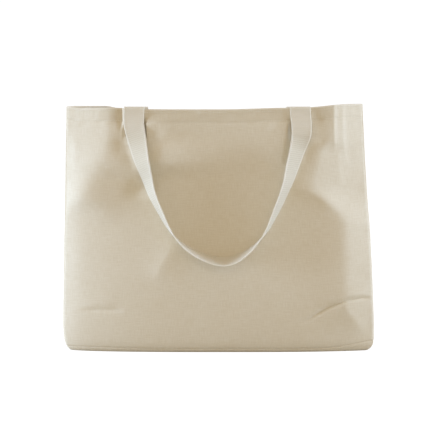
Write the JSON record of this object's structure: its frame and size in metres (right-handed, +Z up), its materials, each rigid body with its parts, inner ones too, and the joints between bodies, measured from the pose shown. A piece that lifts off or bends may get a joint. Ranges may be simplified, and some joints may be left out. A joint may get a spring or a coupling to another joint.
{
  "type": "tote bag",
  "caption": "Wide canvas tote bag with folded side gussets, a hemmed open mouth and webbing handles that hang outside or stand up.",
  "frame": {"origin": "on the floor, under the middle of the bag", "axes": "+X across the front, left to right as seen from the front; -Y towards the front; +Z up"},
  "size_m": [0.5018, 0.2152, 0.387],
  "materials": {
    "canvas": "undyed cotton canvas, plain weave, matt",
    "webbing": "undyed cotton webbing, woven lengthwise, matt",
    "thread": "overlocked canvas edge, cream cotton thread"
  },
  "bodies": {
    "bag": {"front_panel": "canvas", "back_panel": "canvas", "left_gusset": "canvas", "right_gusset": "canvas", "base_panel": "canvas", "front_left_seam": "thread", "front_right_seam": "thread", "back_left_seam": "thread", "back_right_seam": "thread", "front_base_seam": "thread", "back_base_seam": "thread", "left_base_seam": "thread", "right_base_seam": "thread", "front_handle_left_fold": "webbing", "front_handle_right_fold": "webbing", "front_handle_left_sewn_end": "webbing", "front_handle_right_sewn_end": "webbing", "back_handle_left_fold": "webbing", "back_handle_right_fold": "webbing", "back_handle_left_sewn_end": "webbing", "back_handle_right_sewn_end": "webbing"},
    "front_handle": {"front_handle_loop": "webbing"},
    "back_handle": {"back_handle_loop": "webbing"}
  },
  "joints": [
    {"name": "front_handle_swing", "type": "hinge", "parent": "bag", "child": "front_handle", "pos_m": [0, -0.06058, 0.38196], "axis": [-1, 0, 0], "range_deg": [0, 178], "deforming": ["front_handle_left_fold", "front_handle_right_fold"]},
    {"name": "back_handle_swing", "type": "hinge", "parent": "bag", "child": "back_handle", "pos_m": [0, 0.06058, 0.38196], "axis": [1, 0, 0], "range_deg": [0, 178], "deforming": ["back_handle_left_fold", "back_handle_right_fold"]}
  ]
}
